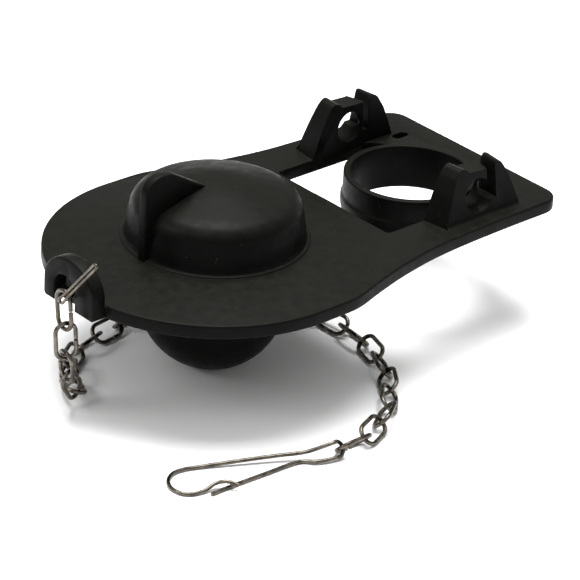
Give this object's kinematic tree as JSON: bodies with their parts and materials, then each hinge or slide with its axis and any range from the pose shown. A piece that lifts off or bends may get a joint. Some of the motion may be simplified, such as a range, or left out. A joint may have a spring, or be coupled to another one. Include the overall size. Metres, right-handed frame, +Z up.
{
  "type": "toilet flapper",
  "caption": "Rubber toilet flapper with float bulb, overflow collar, pivot ears, wire clip, link chain and spring hook.",
  "frame": {"origin": "centre of the sealing disc, in the plane of its flat underside", "axes": "+X from the disc towards the tail, +Y across towards the far ear, +Z up out of the valve seat"},
  "size_m": [0.1413, 0.0994, 0.0575],
  "materials": {
    "rubber": "moulded black rubber, satin, a little dusty",
    "steel": "drawn stainless wire, dull bright"
  },
  "bodies": {
    "root": {"flapper_body": "rubber", "lug_clip": "steel", "chain_link_01": "steel", "chain_link_02": "steel", "chain_link_03": "steel", "chain_link_04": "steel", "chain_link_05": "steel", "chain_link_06": "steel", "chain_link_07": "steel", "chain_link_08": "steel", "chain_link_09": "steel", "chain_link_10": "steel", "chain_link_11": "steel", "chain_link_12": "steel", "chain_link_13": "steel", "chain_link_14": "steel", "chain_link_15": "steel", "chain_link_16": "steel", "chain_link_17": "steel", "chain_link_18": "steel", "chain_link_19": "steel", "chain_link_20": "steel", "chain_link_21": "steel", "chain_link_22": "steel", "chain_link_23": "steel", "chain_link_24": "steel", "chain_link_25": "steel", "spring_hook": "steel"}
  },
  "joints": []
}
